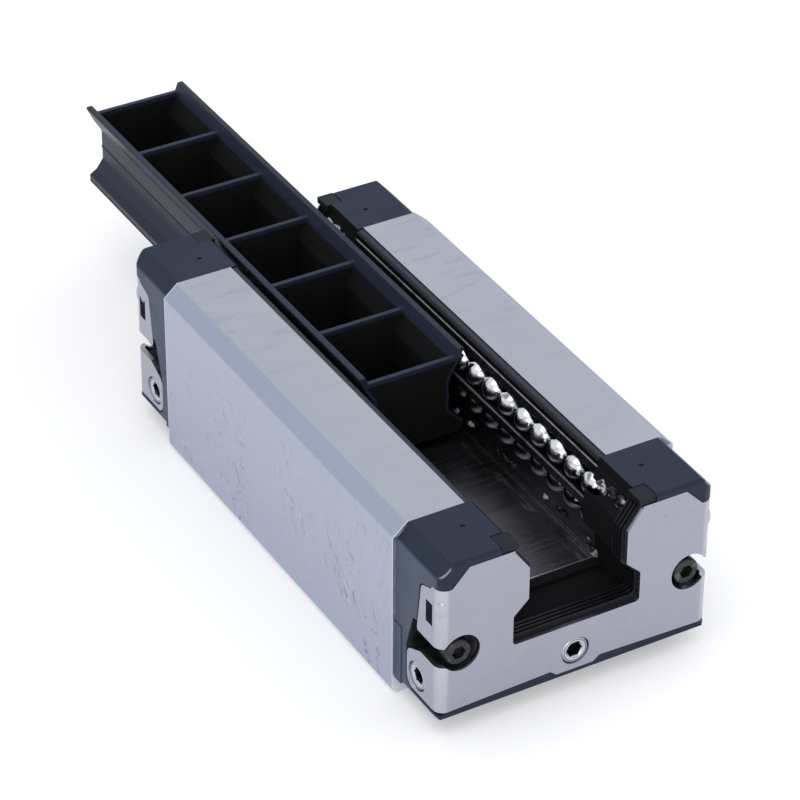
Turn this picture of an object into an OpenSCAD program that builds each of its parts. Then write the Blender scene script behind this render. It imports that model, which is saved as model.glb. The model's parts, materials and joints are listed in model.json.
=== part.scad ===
// Linear guide carriage: a four-row ball runner block on its plastic mounting arbor.
// Frame: the origin is the centre of the mounting face, X runs across the block,
// Y runs along the rail and +Z points from the mounting face to the open rail side.

/* [Runner block] */
// Width across the ground side faces
body_w = 60; // [56:0.5:66]
// Length of the steel body between its end faces
body_l = 91; // [80:1:110]
// Height from the mounting face to the open rail side
body_h = 38.35; // [38:0.05:39]
// Width of the bevel along the upper outer edges
bevel_w = 3; // [2:0.1:4]
// Height of the bevel along the upper outer edges
bevel_h = 2.65; // [2:0.05:3.5]
// Distance between the steel strips on each side of the rail
strip_gap = 30.2; // [29.8:0.1:31]

/* [Mounting threads] */
// Spacing of the threads across the block
mount_x = 40; // [36:1:42]
// Spacing of the threads along the block
mount_y = 60; // [52:1:64]
// Core radius of the threads
mount_r = 3.4; // [2.5:0.1:4]
// Depth of the threads
mount_depth = 11; // [8:0.5:13]

/* [Rail clearance] */
// Half width of the rail's head
head_half = 13.35; // [13:0.05:13.5]
// Half width of the rail's waist
waist_half = 10.2; // [9.8:0.1:10.4]
// Height of the rail's head above the mounting face
head_z = 16.65; // [16.5:0.05:17]

/* [Balls] */
// Radius of a ball
ball_r = 2.778; // [2.5:0.001:2.8]
// Number of balls in each loop
ball_count = 37; // [30:1:37]
// Place of the first ball along its loop, as a share of the distance between balls
ball_phase = 0.5; // [0:0.05:1]
// Distance across the block from the centre plane to the loaded rows
row_x = 13.75; // [13.7:0.05:13.9]
// Height of the upper loaded row
upper_row_z = 31.9; // [31.8:0.1:32]
// Height of the lower loaded row
lower_row_z = 25.6; // [25.5:0.1:25.7]

/* [Ends] */
// Thickness of the deflector plate against the steel body
deflector_t = 2.1; // [1.5:0.1:2.5]
// Depth of the end cap and deflector together
cap_depth = 14.3; // [14:0.1:16]
// Thickness of the threaded sheet-metal plate
plate_t = 1; // [0.8:0.1:1.2]
// Half width of the end cap
cap_half = 29.3; // [29:0.1:29.6]
// Distance of the end cap's underside from the mounting face
cap_z0 = 3.6; // [3:0.1:4.2]

/* [Screws] */
// Distance from the centre plane to the flange screws
flange_x = 24.5; // [24.3:0.1:24.7]
// Height of the flange screws
flange_z = 17.4; // [17.2:0.1:17.6]
// Outer radius of the set screws that close the lubrication ports
port_r = 2.95; // [2.5:0.05:3]
// Height of the lubrication ports
port_z = 9; // [8.8:0.1:9.4]

/* [Mounting arbor] */
// Length of the arbor
arbor_l = 119; // [110:1:121]
// How far the arbor stands out past the centre of the block
arbor_shift = 59.1; // [59:0.1:60]
// Number of cells between its cross walls
arbor_cells = 6; // [4:1:8]
// Thickness of its cross walls
arbor_rib_t = 1.1; // [0.9:0.1:1.4]

/* [Hidden] */

$fn = 48;
LEFT = -1;
RIGHT = 1;
FRONT = -1;
REAR = 1;

gap = 0.05;                         // clearance between pieces that are assembled by hand
cut = 1;                            // how far a cutting solid runs past the face it cuts
body_half = body_w / 2;
strip_half = strip_gap / 2;
foot_chamfer = 1;

// Rail side: the rail's flank runs at 45 degrees under the head and steeper up to its foot
flank_low_z = [21.95, 24.95];
flank_high_z = [31.95, 36.4];

// Raceways
raceway_x = [14.4, 18.3];
raceway_z = [23.7, 28.7, 28.8, 33.8];
raceway_half_l = body_l / 2 - 0.1;
groove_r = ball_r + 0.05;
liner_half = 14.8;
floor_z = head_z - 1.05;

// Ball loops: loaded row and return bore of each loop, as [x, z]
upper_row = [row_x, upper_row_z];
lower_row = [row_x, lower_row_z];
upper_return = [23.35, 32.6];
lower_return = [23.35, 24];
return_bore_r = 3.5;
channel_r = ball_r + 0.12;

// Strips that keep the balls in when no rail is fitted
liner_x = head_half + 0.2;
strip_half_l = body_l / 2 - 0.1;
strip_bore_r = ball_r + 0.17;
side_seal_z0 = 36.4;

// End parts, measured outwards from the steel body's end face
deflector_half = 29.5;
deflector_step_z = 16.8;
seam = 0.15;                        // gap in sight between two moulded pieces
shank_gap = 0.2;                    // clearance round the flange screws
cap_rail_gap = 0.35;                // sideways, between the rail and the plastic end parts
plate_rail_gap = 0.25;              // sideways, between the rail and the threaded plate
rail_floor_gap = 1.2;               // between the rail's head and the end parts
seal_depth = 3.2;
seal_half = 18.5;
seal_arm = [12.8, 16.3];            // a seal arm's ear, from its inner to its outer side
seal_z0 = 12.4;
lip_gap = [-0.4, -0.05];            // the lips stand a little inside the rail's outline
plate_half = 29.2;
plate_bend_r = 2.2;
plate_z = [6, 36.8];
plate_front = cap_depth + plate_t;
ear_z0 = plate_z[1] + seam;
cap_top_edge = 0.6;
tab_slot = [10.5, 24.1];            // near lower corner of the slot in an upper tab, as [y, z]
tab_slot_size = [2.3, 4.8];
notch_r = 3.9;
notch_z = 18;
dimple = [19, 5.9, 0.3];            // moulding mark on each shoulder: x, y and depth
dimple_r = 0.5;
screw_head_r = 2.7;
screw_head_h = 2.9;
screw_shank_r = 1.5;
screw_seat = plate_front - 0.9 - screw_head_h;
screw_thread_l = 9;
port_depth = 6;
port_y = 7.5;                       // side ports, outwards from the steel body's end face
lube_bore_r = 1.5;

// Mounting arbor
arbor_top = 37.2;
arbor_rib_top = 35.5;
arbor_pitch = (arbor_l - arbor_rib_t) / arbor_cells;
arbor_y0 = arbor_shift - arbor_l / 2;

// ---------- helpers ----------

// Mirrors a half outline with x > 0 into a whole one
function mirrored(half) =
    concat(half, [for (i = [len(half) - 1:-1:0]) [-half[i][0], half[i][1]]]);

function unit(v) = v / norm(v);

// The points of a polygon with the corner at p[i] rounded to the radius r[i]
function rounded(p, r, steps = 5) = [
    for (i = [0:len(p) - 1])
        let (
            back = unit(p[(i + len(p) - 1) % len(p)] - p[i]),
            on = unit(p[(i + 1) % len(p)] - p[i]),
            half = acos(back * on) / 2,
            run = r[i] / tan(half),
            centre = p[i] + unit(back + on) * r[i] / sin(half)
        )
        for (k = [0:r[i] > 0 ? steps : 0])
            r[i] == 0 ? p[i] :
                let (chord = p[i] + run * (back * (1 - k / steps) + on * k / steps))
                    centre + r[i] * unit(chord - centre)
];

// Extrudes an outline drawn as [x, z] from y0 to y1
module along_y(y0, y1) {
    translate([0, y1, 0])
        rotate([90, 0, 0])
            linear_extrude(y1 - y0)
                children();
}

// Extrudes an outline drawn as [y, z] from x0 to x1
module along_x(x0, x1) {
    translate([x0, 0, 0])
        rotate([90, 0, 90])
            linear_extrude(x1 - x0)
                children();
}

// A hole or pin along y at [x, z]
module pin_y(at, r, y0, y1) {
    translate([at[0], y1, at[1]])
        rotate([90, 0, 0])
            cylinder(r = r, h = y1 - y0);
}

// A hole or pin along x at [y, z]
module pin_x(at, r, x0, x1) {
    translate([x0, at[0], at[1]])
        rotate([0, 90, 0])
            cylinder(r = r, h = x1 - x0);
}

// A rectangle with round corners between two opposite corners
module round_rect(low, high, r) {
    translate([low[0] + r, low[1]])
        square([high[0] - low[0] - 2 * r, high[1] - low[1]]);
    translate([low[0], low[1] + r])
        square([high[0] - low[0], high[1] - low[1] - 2 * r]);
    for (x = [low[0] + r, high[0] - r], z = [low[1] + r, high[1] - r])
        translate([x, z])
            circle(r);
}

// Draws a right-hand piece on the chosen side
module on_side(side) {
    if (side == LEFT)
        mirror([1, 0, 0]) children();
    else
        children();
}

// Draws an end piece at the chosen end; its y runs outwards from the steel body's end face
module on_end(end) {
    if (end == FRONT)
        mirror([0, 1, 0])
            translate([0, body_l / 2, 0]) children();
    else
        translate([0, body_l / 2, 0]) children();
}

// Draws a piece for both sides
module both_sides() {
    children();
    mirror([1, 0, 0]) children();
}

// The space the rail needs, grown sideways by side_gap and below its head by floor_gap,
// with its corners rounded to the radius r
module rail_outline(side_gap, floor_gap, top, r = 0) {
    head = head_half + side_gap;
    waist = waist_half + side_gap;
    half = [
        [head, head_z - floor_gap],
        [head, flank_low_z[0]],
        [waist, flank_low_z[1]],
        [waist, flank_high_z[0]],
        [head, flank_high_z[1]],
        [head, top]
    ];
    corners = [r, r, r, r, r, 0];
    polygon(rounded(mirrored(half), [for (i = [0:11]) corners[min(i, 11 - i)]]));
}

// The plane of one ball loop: x runs from the loaded row to the return bore
module loop_plane(row, return) {
    tilt = atan2(return[1] - row[1], return[0] - row[0]);
    middle = (row + return) / 2;
    translate([middle[0], 0, middle[1]])
        rotate([0, -tilt, 0])
            children();
}

// ---------- steel body ----------

module runner_body() {
    color([0.68, 0.69, 0.76])
        difference() {
            along_y(-body_l / 2, body_l / 2)
                polygon(mirrored([
                    [body_half - foot_chamfer, 0],
                    [body_half, foot_chamfer],
                    [body_half, body_h - bevel_h],
                    [body_half - bevel_w, body_h],
                    [strip_half, body_h],
                    [strip_half, raceway_z[3] + gap],
                    [raceway_x[1] + gap, raceway_z[3] + gap],
                    [raceway_x[1] + gap, raceway_z[0] - gap],
                    [liner_half, raceway_z[0] - gap],
                    [liner_half, floor_z]
                ]));
            mounting_threads();
            both_sides() {
                for (row = [upper_row, lower_row])
                    pin_y(row, strip_bore_r, -body_l / 2 - cut, body_l / 2 + cut);
                pin_y(upper_return, return_bore_r, -body_l / 2 - cut, body_l / 2 + cut);
                pin_y(lower_return, return_bore_r, -body_l / 2 - cut, body_l / 2 + cut);
            }
            for (end = [FRONT, REAR])
                on_end(end)
                    both_sides()
                        pin_y([flange_x, flange_z], screw_shank_r + gap, -screw_thread_l - cut, cut);
        }
}

module mounting_threads() {
    for (x = [-1, 1] * mount_x / 2, y = [-1, 1] * mount_y / 2)
        translate([x, y, -cut])
            cylinder(r = mount_r, h = mount_depth + cut);
}

// ---------- raceways, balls and their guides ----------

// A hardened insert with a round groove for one loaded row
module raceway(side, z0, z1, row) {
    color([0.55, 0.56, 0.6])
        on_side(side)
            difference() {
                along_y(-raceway_half_l, raceway_half_l)
                    translate([raceway_x[0], z0])
                        square([raceway_x[1] - raceway_x[0], z1 - z0]);
                pin_y(row, groove_r, -raceway_half_l - cut, raceway_half_l + cut);
            }
}

module raceway_upper(side) raceway(side, raceway_z[2], raceway_z[3], upper_row);
module raceway_lower(side) raceway(side, raceway_z[0], raceway_z[1], lower_row);

// Place of a ball at distance s round a loop: down the loaded row, round, back and round again
function loop_point(s, r, straight, turn) =
    s < straight ? [-r, s - straight / 2] :
    s < straight + turn
        ? let (a = 180 * (s - straight) / turn) [-r * cos(a), straight / 2 + r * sin(a)] :
    s < 2 * straight + turn ? [r, straight / 2 - (s - straight - turn)] :
        let (a = 180 * (s - 2 * straight - turn) / turn) [r * cos(a), -straight / 2 - r * sin(a)];

module ball_loop(side, row, return) {
    r = norm(return - row) / 2;
    straight = body_l + 2 * deflector_t;
    turn = PI * r;
    pitch = 2 * (straight + turn) / ball_count;
    color([0.82, 0.83, 0.85])
        on_side(side)
            loop_plane(row, return)
                for (i = [0:ball_count - 1]) {
                    at = loop_point((i + ball_phase) * pitch, r, straight, turn);
                    translate([at[0], at[1], 0])
                        sphere(ball_r);
                }
}

// Plastic lining of a return bore
module return_tube(side, return) {
    color([0.2, 0.21, 0.24])
        on_side(side)
            difference() {
                pin_y(return, return_bore_r - gap, -body_l / 2, body_l / 2);
                pin_y(return, channel_r, -body_l / 2 - cut, body_l / 2 + cut);
            }
}

// A plastic strip along the block that keeps the balls in where no rail holds them
module ball_strip(side) {
    color([0.09, 0.09, 0.11])
        on_side(side)
            difference() {
                along_y(-strip_half_l, strip_half_l)
                    children();
                pin_y(upper_row, strip_bore_r, -body_l, body_l);
                pin_y(lower_row, strip_bore_r, -body_l, body_l);
            }
}

// Strip between the upper row and the side seal
module ball_strip_upper(side) {
    z0 = raceway_z[3] + 0.1;
    z1 = side_seal_z0 - 0.1;
    ball_strip(side)
        polygon([
            [liner_x - 1, z0], [strip_half - gap, z0],
            [strip_half - gap, z1], [liner_x - 0.2, z1]
        ]);
}

// Strip between the two rows
module ball_strip_middle(side) {
    x0 = 11;
    x1 = raceway_x[0] - gap;
    middle_z = (upper_row_z + lower_row_z) / 2;
    ball_strip(side)
        polygon([
            [x0, middle_z - 1], [x1, middle_z - 0.4],
            [x1, middle_z + 0.4], [x0, middle_z + 1]
        ]);
}

// Wall between the floor of the channel and the lower row
module ball_strip_lower(side) {
    ball_strip(side)
        translate([liner_x, floor_z + 0.1])
            square([liner_half - gap - liner_x, raceway_z[0] - floor_z - 0.2]);
}

// Strip with a lip that wipes the side of the rail
module side_seal(side) {
    z0 = side_seal_z0;
    z1 = body_h - 0.25;
    lip_x = head_half + 0.15;
    color([0.07, 0.07, 0.08])
        on_side(side)
            along_y(-strip_half_l, strip_half_l)
                polygon([
                    [strip_half - gap, z0], [strip_half - gap, z1],
                    [lip_x + 0.6, z1], [lip_x, z1 - 0.5],
                    [lip_x + 0.1, z1 - 0.9], [lip_x + 0.5, z0]
                ]);
}

// ---------- end parts ----------

// Foot piece in sight below the cap's step, and a narrower plate behind the cap above it
module deflector_outline(grow) {
    upper_half = 27.5;
    upper_z = 35.4;
    difference() {
        union() {
            translate([-deflector_half - grow, cap_z0 - grow])
                square([2 * (deflector_half + grow), deflector_step_z - cap_z0 + 2 * grow]);
            translate([-upper_half - grow, cap_z0])
                square([2 * (upper_half + grow), upper_z - cap_z0 + grow]);
        }
        rail_outline(cap_rail_gap - grow, rail_floor_gap - grow, body_h + cut);
    }
}

module deflector(end) {
    color([0.24, 0.26, 0.32])
        on_end(end)
            difference() {
                along_y(0, deflector_t)
                    deflector_outline(0);
                both_sides() {
                    for (at = [upper_row, lower_row, upper_return, lower_return])
                        pin_y(at, channel_r, -cut, deflector_t + cut);
                    pin_y([flange_x, flange_z], screw_shank_r + shank_gap, -cut, deflector_t + cut);
                }
            }
}

// Half a ring bore that turns the balls from one row of a loop into the other
module turn_bore(row, return) {
    r = norm(return - row) / 2;
    loop_plane(row, return)
        translate([0, deflector_t, 0])
            rotate_extrude(angle = 180)
                translate([r, 0])
                    circle(channel_r);
}

// Cap seen from the side, with a small chamfer along its upper edge and a lip at its foot
module cap_side_outline() {
    lip = 0.5;
    polygon([
        [0, cap_z0], [cap_depth + lip, cap_z0], [cap_depth + lip, plate_z[0] - 1.2],
        [plate_front, plate_z[0] - 1.2], [plate_front, body_h - cap_top_edge],
        [plate_front - cap_top_edge, body_h], [0, body_h]
    ]);
}

// Cap seen from above, with its front corners rounded
module cap_plan_outline() {
    round_rect([-cap_half, -4], [cap_half, plate_front], plate_bend_r + 0.1);
}

// Cap seen from the end
module cap_end_outline() {
    foot_edge = 0.8;
    polygon(mirrored([
        [cap_half - foot_edge, cap_z0], [cap_half, cap_z0 + foot_edge],
        [cap_half, body_h - bevel_h - 0.5],
        [body_half - bevel_w - 0.55, body_h]
    ]));
}

// Recess for a flange screw, open to the side of the block between the plate's two tabs
module screw_recess() {
    pin_y([flange_x, notch_z], notch_r, screw_seat, plate_front + cut);
    along_x(flange_x, body_half + cut)
        polygon(rounded(
            [[plate_front + cut, 14.4], [3.2, 12.4], [6.2, 22], [plate_front + cut, 21.4]],
            [0, 1, 1, 0]
        ));
    pin_y([flange_x, flange_z], screw_shank_r + shank_gap, -cut, screw_seat + cut);
}

// Seal frame in the front of the cap; its arms reach up to the rail side
module seal_outline(grow) {
    shoulder_z = 33;
    difference() {
        union() {
            round_rect([-seal_half - grow, seal_z0 - grow], [seal_half + grow, shoulder_z + grow], 1.5);
            translate([-seal_arm[1] - grow, shoulder_z - 3])
                square([2 * (seal_arm[1] + grow), body_h - shoulder_z + 3]);
        }
        rail_outline(lip_gap[0], lip_gap[1], body_h + cut, 0.9);
    }
}

// The ears of the seal, which lie open in the top of the cap and over the plate's edge
module seal_ears(grow) {
    low = [seal_arm[0], cap_depth - seal_depth, ear_z0];
    high = [seal_arm[1], plate_front - 0.2, body_h - 0.1];
    both_sides()
        translate(low - grow * [1, 1, 1])
            cube(high - low + 2 * grow * [1, 1, 1]);
}

module end_cap(end) {
    color([0.2, 0.22, 0.27])
        on_end(end)
            difference() {
                intersection() {
                    along_x(-cap_half, cap_half)
                        cap_side_outline();
                    along_y(0, plate_front + cut)
                        cap_end_outline();
                    translate([0, 0, cap_z0])
                        linear_extrude(body_h)
                            cap_plan_outline();
                }
                along_y(-cut, plate_front + cut)
                    rail_outline(cap_rail_gap, rail_floor_gap + 1, body_h + cut);
                along_y(-cut, deflector_t + gap)
                    deflector_outline(seam);
                along_y(cap_depth - seal_depth - gap, cap_depth + cut)
                    seal_outline(gap);
                seal_ears(seam);
                plate_seat();
                both_sides() {
                    turn_bore(upper_row, upper_return);
                    turn_bore(lower_row, lower_return);
                    screw_recess();
                    along_x(plate_half - plate_t - gap, body_half + cut)
                        tab_outline(0.25);
                    pin_x([port_y, port_z], port_r + gap, plate_half - port_depth, body_half + cut);
                    pin_x([port_y, port_z], lube_bore_r, -cut, plate_half - port_depth + cut);
                    translate([dimple[0], dimple[1], body_h - dimple[2]])
                        cylinder(r = dimple_r, h = cut);
                }
                pin_y([0, port_z], port_r + gap, plate_front - port_depth, plate_front);
                pin_y([0, port_z], lube_bore_r, port_y, plate_front);
            }
}

// Lip seal: a frame whose grooves leave a row of lips towards the rail
module end_seal(end) {
    groove_count = 3;
    groove_w = 0.45;
    lip_pitch = 0.95;
    color([0.05, 0.05, 0.06])
        on_end(end) {
            difference() {
                along_y(cap_depth - seal_depth, cap_depth - gap)
                    difference() {
                        seal_outline(0);
                        translate([-body_half, ear_z0])
                            square([body_w, body_h]);
                    }
                for (i = [0:groove_count - 1])
                    along_y(
                        cap_depth - seal_depth + 0.5 + i * lip_pitch,
                        cap_depth - seal_depth + 0.5 + i * lip_pitch + groove_w
                    )
                        rail_outline(cap_rail_gap, rail_floor_gap / 2, body_h + cut, 0.9);
            }
            seal_ears(0);
        }
}

// Side tabs of the threaded plate, seen from the side; grow widens them for their seat
module tab_outline(grow) {
    offset_y = [-grow, 0];
    offset_z = [0, grow];
    front = plate_front + 3;
    polygon(rounded(
        [
            [front, 18.9] - offset_z, [7.2, 18.9] - offset_z + offset_y,
            [8.8, 31] + offset_z + offset_y, [13, 32.5] + offset_z, [front, 33.6] + offset_z
        ],
        [0, 1.8, 1.4, 4, 0]
    ));
    polygon(rounded(
        [
            [front, 5] - offset_z, [3.9, 5] - offset_z + offset_y,
            [3.9, 13.4] + offset_z + offset_y, [9.6, 16] + offset_z, [front, 16.2] + offset_z
        ],
        [0, 2.6, 2.2, 3, 0]
    ));
}

// Face of the threaded plate, seen from the end; grow widens it for its seat
module plate_outline(grow) {
    lobe_z = 4.9;
    lobe_half = 4;
    half = [
        [lobe_half, lobe_z - grow], [lobe_half + 1.3, plate_z[0] - grow],
        [plate_half + cut, plate_z[0] - 0.8 - grow], [plate_half + cut, 33 + grow],
        [26.6 + grow / 2, 33 + grow], [23 + grow / 2, plate_z[1] + grow]
    ];
    corners = [0.6, 0.6, 0, 0, 0.8, 0.4];
    polygon(rounded(mirrored(half), [for (i = [0:11]) corners[min(i, 11 - i)]]));
}

// The plate's round notches for the flange screws, open to the sides
module plate_notches() {
    both_sides() {
        translate([flange_x, notch_z])
            circle(notch_r);
        translate([flange_x + 2, notch_z - 2.4])
            square([4, 4.3]);
    }
}

module threaded_plate(end) {
    color([0.7, 0.71, 0.76])
        on_end(end)
            difference() {
                intersection() {
                    bent_sheet();
                    along_y(0, plate_front + cut)
                        difference() {
                            plate_outline(0);
                            rail_outline(plate_rail_gap, rail_floor_gap, body_h, 0.8);
                            plate_notches();
                        }
                }
                along_x(-body_half - cut, body_half + cut)
                    difference() {
                        translate([-cut, -cut])
                            square([cap_depth - 1, body_h + 2 * cut]);
                        tab_outline(0);
                    }
                pin_y([0, port_z], port_r + gap, cap_depth - cut, plate_front + cut);
                both_sides() {
                    pin_x([port_y, port_z], port_r + gap, plate_half - 2, body_half + cut);
                    along_x(plate_half - 2, body_half + cut)
                        translate(tab_slot)
                            square(tab_slot_size);
                }
            }
}

// Sheet bent round both front corners of the cap
module bent_sheet() {
    linear_extrude(body_h)
        difference() {
            round_rect([-plate_half, -10], [plate_half, plate_front], plate_bend_r);
            round_rect(
                [-plate_half + plate_t, -12],
                [plate_half - plate_t, cap_depth],
                plate_bend_r - plate_t
            );
            translate([-body_half, -15])
                square([body_w, 15]);
        }
}

// Seat of the plate in the front of the cap
module plate_seat() {
    intersection() {
        along_y(cap_depth - 2, plate_front + cut)
            plate_outline(seam);
        linear_extrude(body_h)
            difference() {
                translate([-body_half - cut, cap_depth - 3])
                    square([body_w + 2 * cut, 6]);
                round_rect(
                    [-plate_half + plate_t + gap, -12],
                    [plate_half - plate_t - gap, cap_depth - gap],
                    plate_bend_r - plate_t
                );
            }
    }
}

// ---------- screws ----------

// Socket screw along y with its head outwards
module socket_screw(head_r, head_h, shank_r, shank_l, key) {
    rotate([-90, 0, 0])
        difference() {
            union() {
                cylinder(r = head_r, h = head_h - 0.3);
                translate([0, 0, head_h - 0.3])
                    cylinder(r1 = head_r, r2 = head_r - 0.3, h = 0.3);
                translate([0, 0, -shank_l])
                    cylinder(r = shank_r, h = shank_l);
            }
            translate([0, 0, head_h - 1.6])
                cylinder(r = key / 2 / cos(30), h = 2, $fn = 6);
        }
}

module flange_screws(end) {
    color([0.12, 0.12, 0.12])
        on_end(end)
            both_sides()
                translate([flange_x, screw_seat, flange_z])
                    socket_screw(
                        screw_head_r, screw_head_h,
                        screw_shank_r, screw_seat + screw_thread_l, 2.5
                    );
}

// Set screw along y, open to +y, with its outer face at the origin
module set_screw() {
    length = port_depth - 1;
    key = 3;
    rotate([-90, 0, 0])
        difference() {
            union() {
                translate([0, 0, -length])
                    cylinder(r = port_r, h = length - 0.4);
                translate([0, 0, -0.4])
                    cylinder(r1 = port_r, r2 = port_r - 0.4, h = 0.4);
            }
            translate([0, 0, -3.6])
                cylinder(r = key / 2 / cos(30), h = 4, $fn = 6);
            translate([0, 0, -0.3])
                cylinder(r1 = 1.6, r2 = 2.1, h = 0.5);
        }
}

module port_screws(end) {
    sunk = 0.2;
    color([0.75, 0.76, 0.8])
        on_end(end) {
            translate([0, plate_front - sunk, port_z])
                set_screw();
            both_sides()
                translate([plate_half - sunk, port_y, port_z])
                    rotate([0, 0, -90])
                        set_screw();
        }
}

// ---------- mounting arbor ----------

module arbor_outer() {
    polygon(mirrored([
        [10.7, 17.9], [11.5, 18.9], [11.5, 20.5], [9.8, 21.6], [8.3, 23.7],
        [8.3, 26.4], [8.6, 26.7], [8.3, 27], [8.3, 30.6], [10.2, 33.9], [11.6, 36.9],
        [11.4, arbor_top], [10.9, arbor_top]
    ]));
}

module arbor_inner() {
    polygon(mirrored([
        [9.6, 19.2], [10.2, 20.2], [8.9, 21], [7.1, 23.4],
        [7.1, 30.9], [9.1, 34.4], [10.6, arbor_top + cut]
    ]));
}

module mounting_arbor() {
    color([0.13, 0.14, 0.17])
        difference() {
            along_y(arbor_y0, arbor_y0 + arbor_l)
                arbor_outer();
            for (i = [0:arbor_cells - 1]) {
                y = arbor_y0 + arbor_rib_t + i * arbor_pitch;
                along_y(y, y + arbor_pitch - arbor_rib_t)
                    arbor_inner();
            }
            along_y(arbor_y0 - cut, arbor_y0 + arbor_l + cut)
                intersection() {
                    arbor_inner();
                    translate([-body_half, arbor_rib_top])
                        square([body_w, body_h]);
                }
        }
}

// ---------- the nodes ----------

runner_body();
raceway_upper(LEFT);  // raceway_upper_left
raceway_lower(LEFT);  // raceway_lower_left
raceway_upper(RIGHT);  // raceway_upper_right
raceway_lower(RIGHT);  // raceway_lower_right
ball_loop(LEFT, upper_row, upper_return);  // ball_loop_upper_left
ball_loop(LEFT, lower_row, lower_return);  // ball_loop_lower_left
ball_loop(RIGHT, upper_row, upper_return);  // ball_loop_upper_right
ball_loop(RIGHT, lower_row, lower_return);  // ball_loop_lower_right
return_tube(LEFT, upper_return);  // return_tube_upper_left
return_tube(LEFT, lower_return);  // return_tube_lower_left
return_tube(RIGHT, upper_return);  // return_tube_upper_right
return_tube(RIGHT, lower_return);  // return_tube_lower_right
ball_strip_upper(LEFT);  // ball_strip_upper_left
ball_strip_middle(LEFT);  // ball_strip_middle_left
ball_strip_lower(LEFT);  // ball_strip_lower_left
ball_strip_upper(RIGHT);  // ball_strip_upper_right
ball_strip_middle(RIGHT);  // ball_strip_middle_right
ball_strip_lower(RIGHT);  // ball_strip_lower_right
side_seal(LEFT);  // side_seal_left
side_seal(RIGHT);  // side_seal_right
deflector(FRONT);  // deflector_front
deflector(REAR);  // deflector_rear
end_cap(FRONT);  // end_cap_front
end_cap(REAR);  // end_cap_rear
end_seal(FRONT);  // end_seal_front
end_seal(REAR);  // end_seal_rear
threaded_plate(FRONT);  // threaded_plate_front
threaded_plate(REAR);  // threaded_plate_rear
flange_screws(FRONT);  // flange_screws_front
flange_screws(REAR);  // flange_screws_rear
port_screws(FRONT);  // port_screws_front
port_screws(REAR);  // port_screws_rear
mounting_arbor();
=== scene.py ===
"""The looks of the linear guide carriage: camera, studio, materials and details on the CAD frame."""

import json
import math

import bmesh
import bpy
from mathutils import Matrix, Vector, noise


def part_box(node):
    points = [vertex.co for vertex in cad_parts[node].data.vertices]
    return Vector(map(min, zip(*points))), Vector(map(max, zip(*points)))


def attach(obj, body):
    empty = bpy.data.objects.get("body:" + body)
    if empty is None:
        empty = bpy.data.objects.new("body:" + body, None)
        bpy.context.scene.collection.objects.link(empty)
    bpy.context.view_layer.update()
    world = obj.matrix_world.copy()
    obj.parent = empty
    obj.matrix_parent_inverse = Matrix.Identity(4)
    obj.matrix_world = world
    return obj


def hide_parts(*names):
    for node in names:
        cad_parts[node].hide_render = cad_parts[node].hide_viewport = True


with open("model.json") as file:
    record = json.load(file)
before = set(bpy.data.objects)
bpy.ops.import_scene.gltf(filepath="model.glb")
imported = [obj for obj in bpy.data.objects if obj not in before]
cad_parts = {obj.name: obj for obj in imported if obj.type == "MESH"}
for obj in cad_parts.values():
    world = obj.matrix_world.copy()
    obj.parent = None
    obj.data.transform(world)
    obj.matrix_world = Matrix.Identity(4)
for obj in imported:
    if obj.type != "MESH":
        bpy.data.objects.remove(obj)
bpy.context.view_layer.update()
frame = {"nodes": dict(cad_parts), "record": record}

# Places and sizes below are in millimetres; MM turns them into Blender's metres.
MM = 0.001
NODES = frame["nodes"]
STEEL_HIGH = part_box("runner_body")[1]
STEEL_TOP = STEEL_HIGH.z / MM
STEEL_END = STEEL_HIGH.y / MM
CHANNEL_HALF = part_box("ball_strip_lower_right")[0].x / MM

PLATE_LOW, PLATE_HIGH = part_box("threaded_plate_front")
PLATE_SIDE = PLATE_HIGH.x / MM
PLATE_FRONT = -PLATE_LOW.y / MM

# The ports: all at one height, one in the middle of each end and one at each side
PORT_LOW, PORT_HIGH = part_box("port_screws_front")
PORT_Z = (PORT_LOW.z + PORT_HIGH.z) / 2 / MM
PORT_RADIUS = (PORT_HIGH.z - PORT_LOW.z) / 2 / MM
SIDE_PORT_Y = PORT_RADIUS - PORT_HIGH.y / MM


# ---------- camera and studio ----------

CAMERA_AZIMUTH = math.radians(-30.0)
CAMERA_ELEVATION = math.radians(34.5)
CAMERA_ROLL = math.radians(0.3)
CAMERA_DISTANCE = 719.2 * MM
CAMERA_LENS = 164.5
AIM = Vector((4.35, 11.7, 20.0)) * MM

WORLD_COLOUR = (0.93, 0.95, 1.0, 1.0)
WORLD_STRENGTH = 0.92

# Place, width and power of each soft light, in metres and watts
LIGHTS = {
    "key_above": ((-0.25, -0.1, 0.9), 0.7, 2.2),
    "fill_front": ((-0.5, -0.9, 0.45), 0.6, 1.8),
    "rim_right": ((0.8, 0.3, 0.5), 0.5, 1.2),
}

# The floor lies just under the mounting face, so the two faces don't share a plane.
FLOOR_HALF = 3.0
FLOOR_Z = -0.05 * MM
FLOOR_LOOK = {
    "Base Color": (0.67, 0.665, 0.66, 1.0),
    "Emission Color": (1.0, 1.0, 1.0, 1.0),
    "Emission Strength": 0.32,
    "Roughness": 0.9,
}


def add_object(name, data):
    """Puts a new object into the scene."""
    made = bpy.data.objects.new(name, data)
    bpy.context.scene.collection.objects.link(made)
    return made


def camera_axes():
    """Right, up and back of the camera, from its azimuth, elevation and roll."""
    a, e, r = CAMERA_AZIMUTH, CAMERA_ELEVATION, CAMERA_ROLL
    back = Vector((math.sin(a) * math.cos(e), -math.cos(a) * math.cos(e), math.sin(e)))
    level = Vector((math.cos(a), math.sin(a), 0.0))
    upright = back.cross(level)
    right = level * math.cos(r) + upright * math.sin(r)
    return right, back.cross(right), back


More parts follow.
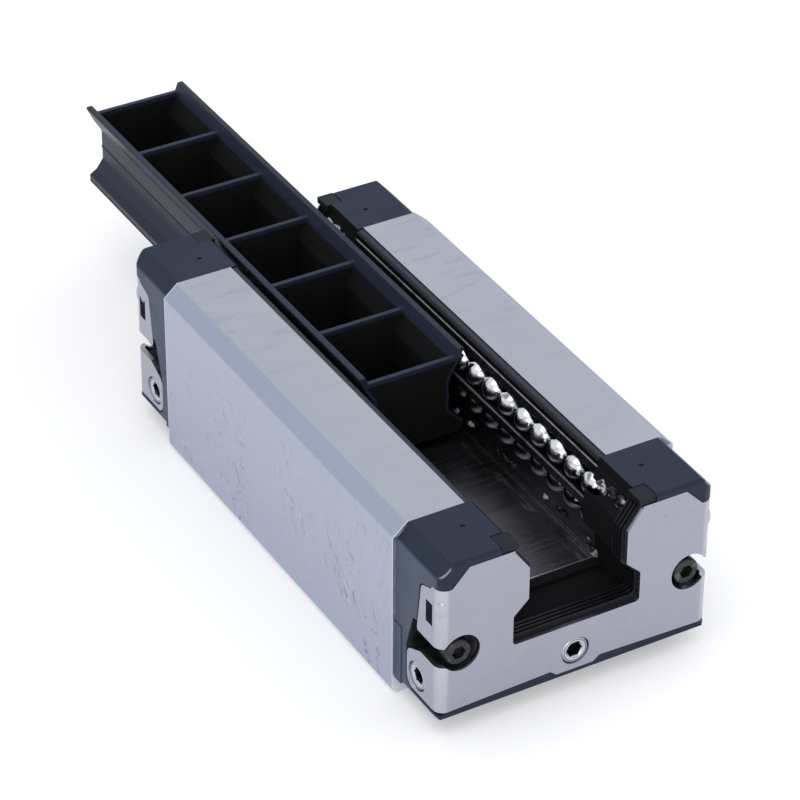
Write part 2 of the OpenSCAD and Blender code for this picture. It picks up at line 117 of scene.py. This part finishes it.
def add_camera():
    """Adds the camera at the viewing angle of the picture."""
    right, up, back = camera_axes()
    data = bpy.data.cameras.new("photo_camera")
    data.lens = CAMERA_LENS
    data.sensor_width = 36.0
    data.clip_start = 0.01
    data.clip_end = 20.0
    camera = add_object("photo_camera", data)
    turn = Matrix((right, up, back)).transposed().to_4x4()
    camera.matrix_world = Matrix.Translation(AIM + back * CAMERA_DISTANCE) @ turn
    bpy.context.scene.camera = camera


def add_area_light(name, place, size, power):
    """Adds a square soft light that faces the block."""
    data = bpy.data.lights.new(name, "AREA")
    data.shape = "SQUARE"
    data.size = size
    data.energy = power
    light = add_object(name, data)
    place = Vector(place)
    turn = (AIM - place).to_track_quat("-Z", "Y").to_matrix().to_4x4()
    light.matrix_world = Matrix.Translation(place) @ turn


def add_studio():
    """Adds the pale surroundings, the soft lights and the floor."""
    world = bpy.data.worlds.new("studio")
    world.use_nodes = True
    background = world.node_tree.nodes["Background"]
    background.inputs["Color"].default_value = WORLD_COLOUR
    background.inputs["Strength"].default_value = WORLD_STRENGTH
    bpy.context.scene.world = world
    bpy.context.scene.view_settings.view_transform = "Standard"
    for name, (place, size, power) in LIGHTS.items():
        add_area_light(name, place, size, power)

    corners = [(-1, -1), (1, -1), (1, 1), (-1, 1)]
    floor = add_object("studio_floor", bpy.data.meshes.new("studio_floor"))
    floor.data.from_pydata(
        [(x * FLOOR_HALF, y * FLOOR_HALF, FLOOR_Z) for x, y in corners], [], [(0, 1, 2, 3)]
    )
    paper = bpy.data.materials.new("floor_paper")
    paper.use_nodes = True
    for socket, value in FLOOR_LOOK.items():
        paper.node_tree.nodes["Principled BSDF"].inputs[socket].default_value = value
    floor.data.materials.append(paper)


# ---------- material helpers ----------


class Look:
    """A material under construction: short calls that add nodes and link them."""

    def __init__(self, name, **sockets):
        self.material = bpy.data.materials.new(name)
        self.material.use_nodes = True
        self.tree = self.material.node_tree
        self.shader = self.tree.nodes["Principled BSDF"]
        for socket, value in sockets.items():
            self.shader.inputs[socket.replace("_", " ")].default_value = value
        self.place = self.add("ShaderNodeTexCoord").outputs["Object"]

    def add(self, kind, **settings):
        """Adds a node with the given settings."""
        node = self.tree.nodes.new(kind)
        for key, value in settings.items():
            setattr(node, key, value)
        return node

    def join(self, source, socket):
        """Links source to socket, or sets the socket if source is a plain value."""
        if isinstance(source, bpy.types.NodeSocket):
            self.tree.links.new(source, socket)
        else:
            socket.default_value = source

    def math(self, operation, *values):
        node = self.add("ShaderNodeMath", operation=operation)
        for value, socket in zip(values, node.inputs):
            self.join(value, socket)
        return node.outputs[0]

    def both(self, first, *others):
        """The product of masks, or of a mask and a number."""
        for other in others:
            first = self.math("MULTIPLY", first, other)
        return first

    def either(self, first, second):
        """The larger of two masks."""
        return self.math("MAXIMUM", first, second)

    def length(self, first, second):
        """The length of the vector with two components."""
        squares = self.math("ADD", self.both(first, first), self.both(second, second))
        return self.math("SQRT", squares)

    def scaled(self, scale, turn=(0.0, 0.0, 0.0), at=None):
        """The place on the object, in metres, times scale along each axis, and then turned."""
        node = self.add("ShaderNodeMapping")
        node.inputs["Scale"].default_value = scale
        node.inputs["Rotation"].default_value = turn
        self.join(at if at is not None else self.place, node.inputs["Vector"])
        return node.outputs["Vector"]

    def noise(self, scale, detail=4.0, rough=0.5, warp=0.0, turn=(0.0, 0.0, 0.0), at=None):
        """Noise with one scale, or with one for each axis."""
        if isinstance(scale, tuple):
            at = self.scaled(scale, turn, at)
            scale = 1.0
        node = self.add("ShaderNodeTexNoise")
        node.inputs["Scale"].default_value = scale
        node.inputs["Detail"].default_value = detail
        node.inputs["Roughness"].default_value = rough
        node.inputs["Distortion"].default_value = warp
        self.join(at if at is not None else self.place, node.inputs["Vector"])
        return node.outputs["Fac"]

    def ramp(self, value, low, high, out_low=0.0, out_high=1.0):
        """Maps value smoothly from low..high to out_low..out_high."""
        node = self.add("ShaderNodeMapRange", interpolation_type="SMOOTHSTEP")
        self.join(value, node.inputs["Value"])
        limits = {"From Min": low, "From Max": high, "To Min": out_low, "To Max": out_high}
        for socket, number in limits.items():
            node.inputs[socket].default_value = number
        return node.outputs["Result"]

    def above(self, place, low, high, full=1.0):
        """0 up to the place low and full from the place high on."""
        return self.ramp(place, low * MM, high * MM, 0.0, full)

    def below(self, place, low, high, rest=0.0):
        """1 up to the place low and rest from the place high on."""
        return self.ramp(place, low * MM, high * MM, 1.0, rest)

    def between(self, place, low, low_full, high_full, high):
        """A band: full from low_full to high_full, and 0 outside low and high."""
        return self.both(self.above(place, low, low_full), self.below(place, high_full, high))

    def line(self, value, level, core, edge):
        """A thin line where value passes level."""
        away = self.math("ABSOLUTE", self.math("SUBTRACT", value, level))
        return self.ramp(away, core, edge, 1.0, 0.0)

    def mix(self, amount, first, second):
        """The colour first where amount is 0 and second where it is 1."""
        node = self.add("ShaderNodeMix", data_type="RGBA")
        self.join(amount, node.inputs["Factor"])
        for value, socket in ((first, node.inputs[6]), (second, node.inputs[7])):
            self.join(value if isinstance(value, bpy.types.NodeSocket) else (*value, 1.0), socket)
        return node.outputs[2]

    def axis(self, name):
        """One coordinate of the place on the object, in metres."""
        node = self.add("ShaderNodeSeparateXYZ")
        self.join(self.place, node.inputs[0])
        return node.outputs[name]

    def places(self):
        """How far from the block's middle across and along the rail, and how high."""
        across = self.math("ABSOLUTE", self.axis("X"))
        along = self.math("ABSOLUTE", self.axis("Y"))
        return across, along, self.axis("Z")

    def bump(self, height, depth, strength=1.0, after=None):
        """Adds relief of the given depth in millimetres."""
        node = self.add("ShaderNodeBump")
        node.inputs["Strength"].default_value = strength
        node.inputs["Distance"].default_value = depth * MM
        self.join(height, node.inputs["Height"])
        if after is not None:
            self.join(after, node.inputs["Normal"])
        return node.outputs["Normal"]

    def finish(self, colour, rough=None, normal=None):
        """Links the results to the shader and hands the material over."""
        self.join(colour, self.shader.inputs["Base Color"])
        if rough is not None:
            self.join(rough, self.shader.inputs["Roughness"])
        if normal is not None:
            self.join(normal, self.shader.inputs["Normal"])
        return self.material


# ---------- materials, each named after its slot ----------


def ground_steel(look, cloud, crease_line, lit_line, low_side, ripple, rear, bevel):
    """Colour of the outer faces: sides, bevels, ground strips and end faces, with painted shade on
    the side faces and on the right bevel, and painted highlights beside the creases and along the
    left edges of the end faces.
    """
    x, y, z = look.places()
    right = look.axis("X")
    rail_face = look.above(z, 38.2, 38.3)
    # A painted highlight along the left edges of the steel's end faces.
    painted_rim_highlight = look.both(
        look.above(y, STEEL_END - 0.25, STEEL_END - 0.15),
        look.above(x, 26.5, 27.0),
        look.below(right, 0.0, 5.0),
    )
    end_face = look.both(
        look.above(y, STEEL_END - 0.03, STEEL_END - 0.01),
        look.below(x, 26.0, 26.4),
    )
    # The side faces are painted darker than the ground strips on top: painted shade.
    shaded_side_tone = look.mix(cloud, (0.375, 0.405, 0.510), (0.445, 0.475, 0.585))
    strip_tone = look.mix(cloud, (0.425, 0.455, 0.505), (0.480, 0.510, 0.560))
    # The right bevel is painted darker than the left one: painted shade.
    bevel_tone_shaded_right = look.mix(look.above(right, -1.0, 1.0), (0.365, 0.415, 0.51), (0.265, 0.295, 0.355))
    bevel_tone_shaded_right = look.mix(look.both(cloud, 0.3), bevel_tone_shaded_right, (0.42, 0.46, 0.55))
    wavy = look.both(look.ramp(ripple, 0.55, 0.66), rear, rail_face)

    tone = look.mix(rail_face, shaded_side_tone, strip_tone)
    tone = look.mix(look.both(low_side, 0.22), tone, (0.27, 0.29, 0.40))
    tone = look.mix(look.both(wavy, 0.28), tone, (0.30, 0.32, 0.40))
    tone = look.mix(look.both(crease_line, 0.8), tone, (0.14, 0.155, 0.22))
    tone = look.mix(look.both(lit_line, 0.6), tone, (0.60, 0.63, 0.72))
    tone = look.mix(bevel, tone, bevel_tone_shaded_right)
    tone = look.mix(painted_rim_highlight, tone, (0.72, 0.74, 0.80))
    return look.mix(end_face, tone, (0.10, 0.10, 0.115))


def channel_steel(look, cloud):
    """Colour of the unground channel: oily, with scratches near its walls and painted highlights on
    the floor's edges.
    """
    x, y, z = look.places()
    streak = look.noise((900.0, 140.0, 900.0), detail=6.0, rough=0.7, warp=0.8)
    near_wall = look.between(x, 8.5, 11.5, 12.6, 13.2)
    share = look.math("ADD", look.both(near_wall, 0.8), 0.12)
    scratch = look.both(look.ramp(streak, 0.52, 0.62), share)
    # Painted highlights along the floor's side and end edges.
    floor_side = look.between(x, 13.12, 13.22, 13.42, 13.5)
    floor_end = look.above(y, STEEL_END - 0.3, STEEL_END - 0.2)
    floor_edge_highlight = look.both(look.either(floor_side, floor_end), look.below(z, 15.8, 16.0))
    tone = look.mix(cloud, (0.110, 0.106, 0.128), (0.240, 0.228, 0.255))
    tone = look.mix(scratch, tone, (0.52, 0.52, 0.55))
    return look.mix(look.both(floor_edge_highlight, 0.75), tone, (0.75, 0.76, 0.80))


def bearing_steel():
    """Ground steel outside with creased low side faces, and dark oiled steel in the channel."""
    look = Look("bearing_steel_ground", Metallic=1.0)
    x, _, z = look.places()
    grind = look.noise((60.0, 2600.0, 900.0), detail=3.0)
    ripple = look.noise((90.0, 520.0, 160.0), detail=2.0)
    cloud = look.noise(45.0, detail=5.0)
    patch = look.ramp(look.noise(48.0, detail=2.5), 0.48, 0.54)
    leaning = look.scaled((1.0, 1.0, 1.0), (math.radians(24), 0.0, 0.0))
    crease = look.noise((300.0, 330.0, 95.0), detail=2.0, warp=1.1, at=leaning)

    inside = look.both(look.below(x, 15.02, 15.06), look.above(z, 5.0, 6.0))
    low_side = look.both(look.below(z, 6.0, 27.0, 0.3), look.above(x, 29.9, 29.95))
    bevel = look.both(look.above(z, 35.8, 35.95), look.above(x, 27.05, 27.2))
    rear = look.ramp(look.axis("Y"), -10 * MM, 25 * MM, 0.25, 1.0)
    creased = look.both(patch, low_side)
    crease_line = look.both(look.line(crease, 0.535, 0.004, 0.02), creased)
    lit_line = look.both(look.line(crease, 0.556, 0.002, 0.012), creased)

    ground = ground_steel(look, cloud, crease_line, lit_line, low_side, ripple, rear, bevel)
    colour = look.mix(inside, ground, channel_steel(look, cloud))
    rough = look.math(
        "ADD",
        look.ramp(grind, 0.3, 0.7, 0.27, 0.38),
        look.ramp(cloud, 0.3, 0.7, -0.03, 0.04),
    )
    rough = look.math("ADD", rough, look.either(look.both(crease_line, 0.12), look.both(bevel, 0.2)))
    height = look.math("ADD", grind, look.both(ripple, rear, 2.2))
    relief = look.bump(height, 0.003, 0.5, look.bump(look.both(crease, creased), 0.2, 0.6))
    return look.finish(colour, rough, relief)


def hardened_steel():
    """Raceways, ground along the rail direction."""
    look = Look("raceway_steel", Metallic=1.0)
    grind = look.noise((2200.0, 60.0, 2200.0), detail=3.0)
    film = look.noise(260.0, warp=0.8)
    colour = look.mix(film, (0.10, 0.10, 0.11), (0.26, 0.26, 0.28))
    return look.finish(colour, look.ramp(grind, 0.3, 0.7, 0.14, 0.3), look.bump(grind, 0.003))


def ball_steel():
    """Polished balls with a film of grease that swirls their reflections."""
    look = Look("ball_steel_polished", Metallic=1.0, Coat_Weight=0.5, Coat_Roughness=0.04)
    film = look.noise(330.0, detail=3.0, warp=1.2)
    smear = look.ramp(look.noise(210.0, warp=1.8), 0.51, 0.64, 0.0, 0.75)
    # The balls of the lower rows are coloured darker.
    low_row = look.ramp(look.axis("Z"), 28.4 * MM, 28.8 * MM, 0.86, 0.0)
    colour = look.mix(look.either(smear, low_row), (0.74, 0.75, 0.78), (0.12, 0.12, 0.13))
    return look.finish(colour, look.ramp(film, 0.4, 0.7, 0.13, 0.26), look.bump(film, 0.04, 0.45))


def stainless_sheet():
    """Satin sheet metal with painted highlights on its folds, and with rolling lines, smudges and
    short scratches.
    """
    look = Look("stainless_sheet_satin", Metallic=1.0)
    x, y, _ = look.places()
    rolled = look.noise((70.0, 70.0, 2800.0), detail=3.0)
    smudge = look.noise(110.0, detail=6.0, rough=0.6)
    nick = look.noise((160.0, 160.0, 1100.0), detail=5.0, rough=0.7, warp=0.5, turn=(0.0, 0.35, 0.2))
    scratch = look.both(look.ramp(nick, 0.63, 0.67), look.ramp(smudge, 0.5, 0.6))
    # Painted highlight along the folds of the plates.
    fold = look.both(
        look.above(x, PLATE_SIDE - 2.4, PLATE_SIDE - 1.4),
        look.above(y, PLATE_FRONT - 2.4, PLATE_FRONT - 1.2),
    )
    colour = look.mix(smudge, (0.335, 0.343, 0.408), (0.392, 0.400, 0.462))
    colour = look.mix(look.both(scratch, 0.45), colour, (0.20, 0.21, 0.25))
    colour = look.mix(look.both(fold, 0.8), colour, (0.50, 0.51, 0.56))
    rough = look.math(
        "ADD",
        look.ramp(rolled, 0.3, 0.7, 0.27, 0.36),
        look.ramp(smudge, 0.35, 0.7, -0.05, 0.06),
    )
    return look.finish(colour, rough, look.bump(rolled, 0.002, 0.3, look.bump(smudge, 0.015, 0.2)))


def cap_corner_glint(look):
    """The short bright line where the cap's bevel meets its rounded front corner."""
    x, y, z = look.places()
    corner_x, corner_y, corner_radius, soft = 27.0, 58.5, 2.0, 0.2
    bevel_x, bevel_slope = 26.45, 1.105
    out_x = look.math("MAXIMUM", look.math("SUBTRACT", x, corner_x * MM), 0.0)
    out_y = look.math("MAXIMUM", look.math("SUBTRACT", y, corner_y * MM), 0.0)
    round_corner = look.above(look.length(out_x, out_y), corner_radius, corner_radius + soft)
    height = look.math("ADD", look.both(x, bevel_slope), z)
    over_bevel = look.math("SUBTRACT", height, (STEEL_TOP + bevel_x * bevel_slope) * MM)
    return look.both(
        round_corner,
        look.above(over_bevel, -0.5, -0.25),
        look.above(x, 26.7, 27.1),
        look.above(z, 35.5, 36.2),
    )


def cap_plastic():
    """Moulded grey plastic, with painted light on its outer sides and painted shade where the rail
    passes (greasy there too), in the screw pockets and on the lip under the plates.
    """
    look = Look("cap_plastic_moulded", Specular_IOR_Level=0.16)
    x, y, z = look.places()
    # Painted shade, with grease, on the faces beside the rail.
    rail_side = look.both(look.below(x, 13.85, 13.95), look.above(z, 9.0, 10.0))
    # Painted shade in the screw pockets behind the plates' tabs.
    pocket = look.both(
        look.between(x, 20.3, 20.5, 28.6, 29.1),
        look.between(z, 12.1, 12.3, 22.0, 22.2),
    )
    # Painted shade on top of the lip under the plate.
    lip_top = look.both(look.between(z, 4.5, 4.6, 4.86, 4.9), look.above(y, 60.0, 60.1))
    # The outer side faces get a paler colour: painted light.
    outer = look.above(x, 28.95, 29.15)
    spark = look.noise(3800.0, detail=2.0)
    cloud = look.noise(140.0, detail=5.0)
    scuff = look.noise((300.0, 1500.0, 700.0), detail=5.0, rough=0.7, turn=(0.3, 0.0, 0.5))
    painted_side_light_tone = look.mix(cloud, (0.046, 0.062, 0.098), (0.058, 0.074, 0.112))
    pocket_shade_tone = look.mix(
        look.ramp(cloud, 0.4, 0.6), (0.012, 0.013, 0.015), (0.045, 0.048, 0.052)
    )

    colour = look.mix(cloud, (0.0115, 0.0185, 0.036), (0.0165, 0.0245, 0.043))
    colour = look.mix(outer, colour, painted_side_light_tone)
    colour = look.mix(look.both(look.ramp(scuff, 0.66, 0.72), 0.5), colour, (0.06, 0.068, 0.085))
    colour = look.mix(cap_corner_glint(look), colour, (0.22, 0.24, 0.28))
    colour = look.mix(pocket, colour, pocket_shade_tone)
    colour = look.mix(look.either(rail_side, lip_top), colour, (0.004, 0.004, 0.005))
    rough = look.math("ADD", look.ramp(cloud, 0.3, 0.7, 0.42, 0.55), look.both(rail_side, 0.42))
    return look.finish(colour, rough, look.bump(spark, 0.02, 0.35))


def black_plastic():
    """Ball strips and tubes, greased, with painted highlights along the strip edges beside the rows
    of balls.
    """
    look = Look(
        "black_plastic_greased", Coat_Weight=0.35, Coat_Roughness=0.06, Specular_IOR_Level=0.15
    )
    x, _, z = look.places()
    film = look.noise(300.0, warp=1.0)
    # Painted highlights along the edges of the upper and middle strips.
    upper_edge = look.both(look.above(z, 36.12, 36.2), look.below(x, 13.5, 13.6))
    middle_edge = look.both(look.above(z, 29.45, 29.6, 0.5), look.below(x, 11.3, 11.45))
    wear_and_painted_highlight = look.both(look.either(upper_edge, middle_edge), look.ramp(film, 0.3, 0.5, 0.35, 1.0))
    colour = look.mix(film, (0.003, 0.003, 0.004), (0.008, 0.008, 0.010))
    colour = look.mix(wear_and_painted_highlight, colour, (0.24, 0.24, 0.25))
    return look.finish(colour, look.ramp(film, 0.3, 0.7, 0.2, 0.45), look.bump(film, 0.1, 0.45))


def grease():
    """Dark glossy grease, smeared along the rail direction, with painted highlight streaks."""
    look = Look(
        "grease_dark",
        Coat_Weight=0.3, Coat_Roughness=0.03, Roughness=0.2, Specular_IOR_Level=0.2,
    )
    smear = look.noise((420.0, 190.0, 420.0), detail=2.0, warp=0.8, turn=(0.35, 0.0, 0.0))
    colour = look.mix(smear, (0.003, 0.003, 0.004), (0.012, 0.012, 0.015))
    # Painted highlight streaks on the grease.
    colour = look.mix(look.both(look.ramp(smear, 0.50, 0.60), 0.85), colour, (0.55, 0.56, 0.59))
    return look.finish(colour, normal=look.bump(smear, 0.15, 0.5))


def seal_rubber():
    """Oiled rubber, a little paler on the seals' ears, with painted light on top of the side seals.
    """
    look = Look(
        "seal_rubber_oiled", Coat_Weight=0.15, Coat_Roughness=0.12, Specular_IOR_Level=0.1
    )
    _, y, z = look.places()
    film = look.noise(500.0, warp=0.6)
    ear = look.above(z, 37.3, 37.45)
    ear_tone = look.mix(film, (0.0035, 0.005, 0.009), (0.010, 0.013, 0.020))
    # Painted light on the top faces of the side seals.
    strip_top = look.both(look.above(z, 37.9, 38.0), look.below(y, 45.4, 45.5))
    colour = look.mix(film, (0.004, 0.004, 0.005), (0.010, 0.010, 0.012))
    colour = look.mix(ear, colour, ear_tone)
    colour = look.mix(look.both(strip_top, 0.8), colour, (0.030, 0.034, 0.044))
    return look.finish(colour, look.ramp(film, 0.3, 0.7, 0.28, 0.5), look.bump(film, 0.06, 0.4))


def arbor_cells(look):
    """The inner walls of the arbor's cells, below the top of the cross walls."""
    x, _, z = look.places()
    waist_half, upper_z, upper_slope, lower_z, lower_slope = 7.7, 30.8, 0.57, 23.5, 0.94
    over = look.math("MAXIMUM", look.math("SUBTRACT", z, upper_z * MM), 0.0)
    under = look.math("MAXIMUM", look.math("SUBTRACT", lower_z * MM, z), 0.0)
    flare = look.math("ADD", look.both(over, upper_slope), look.both(under, lower_slope))
    depth = look.math("SUBTRACT", look.math("ADD", flare, waist_half * MM), x)
    return look.both(look.above(depth, 0.0, 0.1), look.below(z, 34.3, 34.9))


def arbor_plastic():
    """Extruded look along the rail direction outside, with painted shade, near black, in the cells.
    """
    look = Look("arbor_plastic_satin", Specular_IOR_Level=0.2)
    inside = arbor_cells(look)
    flow = look.noise((260.0, 18.0, 260.0))
    spark = look.noise(3200.0, detail=2.0)
    drag = look.noise((2400.0, 60.0, 2400.0), rough=0.65)
    colour = look.mix(flow, (0.010, 0.0155, 0.029), (0.018, 0.025, 0.042))
    colour = look.mix(look.both(look.ramp(drag, 0.62, 0.7), 0.5), colour, (0.065, 0.072, 0.088))
    # Painted shade in the cells.
    colour = look.mix(inside, colour, (0.0025, 0.0025, 0.003))
    rough = look.math("ADD", look.ramp(flow, 0.3, 0.7, 0.32, 0.44), look.both(inside, 0.5))
    relief = look.bump(spark, 0.015, 0.3, look.bump(flow, 0.05, 0.4))
    return look.finish(colour, rough, relief)


def black_oxide_screw():
    """Dark screw heads, rubbed here and there."""
    look = Look("screw_black_oxide", Metallic=0.8)
    grain = look.noise(900.0, detail=5.0)
    wear_and_painted_highlight = look.ramp(look.noise(420.0), 0.55, 0.66)
    colour = look.mix(grain, (0.022, 0.023, 0.025), (0.062, 0.064, 0.068))
    colour = look.mix(look.both(wear_and_painted_highlight, 0.5), colour, (0.17, 0.17, 0.175))
    return look.finish(colour, look.ramp(grain, 0.3, 0.7, 0.3, 0.5), look.bump(grain, 0.03, 0.5))


def bright_screw():
    """Plated set screws with a turned groove; painted shade darkens their sockets and the groove."""
    look = Look("screw_bright", Metallic=1.0)
    x, y, z = look.places()
    middle_socket = look.both(look.below(y, 59.6, 60.3), look.below(x, 4.0, 5.0))
    side_socket = look.both(look.below(x, 27.7, 28.4), look.above(x, 14.0, 15.0))
    at_side = look.above(x, 9.0, 10.0)
    reach = look.math(
        "ADD",
        look.both(at_side, look.math("SUBTRACT", y, SIDE_PORT_Y * MM)),
        look.both(look.math("SUBTRACT", 1.0, at_side), x),
    )
    radius = look.length(reach, look.math("SUBTRACT", z, PORT_Z * MM))
    groove = look.between(radius, 2.2, 2.27, 2.4, 2.47)
    # Painted shade in the sockets and the groove.
    dark = look.either(look.either(middle_socket, side_socket), groove)
    grain = look.noise(700.0)
    turned = look.noise((900.0, 900.0, 900.0), detail=2.0)
    colour = look.mix(grain, (0.46, 0.47, 0.52), (0.60, 0.61, 0.66))
    colour = look.mix(dark, colour, (0.15, 0.15, 0.16))
    return look.finish(colour, look.ramp(turned, 0.3, 0.7, 0.18, 0.34), look.bump(grain, 0.012, 0.4))


# ---------- finish of the CAD nodes ----------

MAKERS = (
    bearing_steel, hardened_steel, ball_steel, stainless_sheet, cap_plastic,
    black_plastic, seal_rubber, arbor_plastic, black_oxide_screw, bright_screw,
)

EDGE_WIDTHS = {
    "bearing_steel": 0.16, "stainless_sheet": 0.12, "cap_plastic": 0.16, "arbor_plastic": 0.14,
    "black_plastic": 0.10, "seal_rubber": 0.08, "black_oxide_screw": 0.12, "bright_screw": 0.10,
}
WELD_DISTANCE = 0.001
SHARP_ANGLE = 32.0


def soften_edges(node, width):
    """Breaks the sharp edges of a CAD node by a small round, so that they catch the light."""
    weld = node.modifiers.new("weld", "WELD")
    weld.merge_threshold = WELD_DISTANCE * MM
    edge = node.modifiers.new("edge", "BEVEL")
    edge.width = width * MM
    edge.segments = 2
    edge.limit_method = "ANGLE"
    edge.angle_limit = math.radians(SHARP_ANGLE)
    edge.use_clamp_overlap = True
    edge.harden_normals = True


def dress_nodes():
    """Gives every CAD node the material of its slot, and returns the materials by slot."""
    made = {make.__name__: make() for make in MAKERS}
    for row in frame["record"]["subparts"]:
        node = NODES[row["node"]]
        slot = row["material_slot"]
        for place in node.material_slots:
            place.material = made[slot]
        if slot in EDGE_WIDTHS:
            soften_edges(node, EDGE_WIDTHS[slot])
    return made


# ---------- pieces on top of the frame ----------


def add_piece(name, shape, material):
    """Turns a bmesh into a piece that rides on the carriage."""
    mesh = bpy.data.meshes.new(name)
    for face in shape.faces:
        face.smooth = True
    shape.to_mesh(mesh)
    shape.free()
    mesh.materials.append(material)
    piece = add_object(name, mesh)
    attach(piece, "carriage")
    return piece


def ball_centres(node):
    """The middle and the radius of each separate ball of a CAD ball loop, in metres."""
    shape = bmesh.new()
    shape.from_mesh(node.data)
    shape.transform(node.matrix_world)
    bmesh.ops.remove_doubles(shape, verts=shape.verts, dist=WELD_DISTANCE * MM)
    centres = []
    seen = set()
    for start in shape.verts:
        if start in seen:
            continue
        seen.add(start)
        ball, edge = [], [start]
        while edge:
            vert = edge.pop()
            ball.append(vert.co.copy())
            for link in vert.link_edges:
                other = link.other_vert(vert)
                if other not in seen:
                    seen.add(other)
                    edge.append(other)
        low = Vector([min(place[i] for place in ball) for i in range(3)])
        high = Vector([max(place[i] for place in ball) for i in range(3)])
        centres.append(((low + high) / 2, (high.z - low.z) / 2))
    shape.free()
    return centres


def add_smooth_balls(looks):
    """Replaces each faceted CAD ball loop by smooth balls in the same places."""
    tilt_x, tilt_z = 1.1, 0.7
    for row in ("upper_left", "lower_left", "upper_right", "lower_right"):
        node = NODES[f"ball_loop_{row}"]
        shape = bmesh.new()
        for count, (centre, radius) in enumerate(ball_centres(node)):
            turn = Matrix.Rotation(count * tilt_x, 4, "X") @ Matrix.Rotation(count * tilt_z, 4, "Z")
            bmesh.ops.create_uvsphere(
                shape,
                u_segments=28,
                v_segments=18,
                radius=radius,
                matrix=Matrix.Translation(centre) @ turn,
            )
        balls = add_piece(f"smooth_balls_{row}", shape, looks["ball_steel"])
        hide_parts(node.name)


def add_lump(name, centre, size, seed, unevenness, material):
    """A soft lump: a ball squeezed to size and made uneven."""
    coarse, fine, fine_share = 1.6, 4.5, 0.35
    shape = bmesh.new()
    bmesh.ops.create_icosphere(shape, subdivisions=4, radius=1.0)
    shift = Vector((seed * 3.7, seed * 1.3, -seed * 2.1))
    for vert in shape.verts:
        swell = noise.noise(vert.co * coarse + shift)
        swell += fine_share * noise.noise(vert.co * fine + shift)
        reach = 1.0 + unevenness * swell
        vert.co = Vector([centre[i] + vert.co[i] * size[i] * reach for i in range(3)]) * MM
    add_piece(name, shape, material)


def grease_places():
    """Middle and size of each lump of grease."""
    # By the deflectors, the end caps and the seal corners: past the channel's wall, past the
    # steel's end, and height
    corners = (
        ((-0.6, 3.8, 33.8), (1.3, 2.3, 1.4)),
        ((-0.9, 6.6, 34.6), (0.9, 1.6, 1.3)),
        ((-1.1, 9.6, 34.4), (0.8, 1.7, 1.4)),
        ((0.1, -0.6, 16.6), (0.6, 1.7, 1.1)),
    )
    row_start, row_step, row_count, row_z = -43, 8.2, 11, 18.4
    length, sway, swell = 1.4, 2.3, 0.7
    for side in (-1, 1):
        for end in (-1, 1):
            for (x, y, z), size in corners:
                yield (side * (CHANNEL_HALF + x), end * (STEEL_END + y), z), size
        for step in range(row_count):
            y = row_start + step * row_step + sway * math.sin(step * 2.7)
            size = (0.42, length + swell * math.sin(step * 1.9), 0.65)
            yield (side * (CHANNEL_HALF - 0.1), y, row_z), size


def add_grease():
    """Grease pressed out by the balls, at the ends of the channel and along the lower rows."""
    paste = grease()
    for count, (centre, size) in enumerate(grease_places(), start=1):
        add_lump(f"grease_{count}", centre, size, count, 0.45, paste)


def add_plate_bulges(looks):
    """A small pressed bulge on each fold of both plates, beside the slot."""
    inset, bulge_z, size = 1.5, 28.65, (1.6, 1.6, 2.7)
    for name, side, end in (("fl", -1, -1), ("fr", 1, -1), ("rl", -1, 1), ("rr", 1, 1)):
        centre = (side * (PLATE_SIDE - inset), end * (PLATE_FRONT - inset), bulge_z)
        sheet = looks["stainless_sheet"]
        add_lump(f"plate_bulge_{name}", centre, size, 1, 0.04, sheet)


add_camera()
add_studio()
looks = dress_nodes()
add_smooth_balls(looks)
add_grease()
add_plate_bulges(looks)
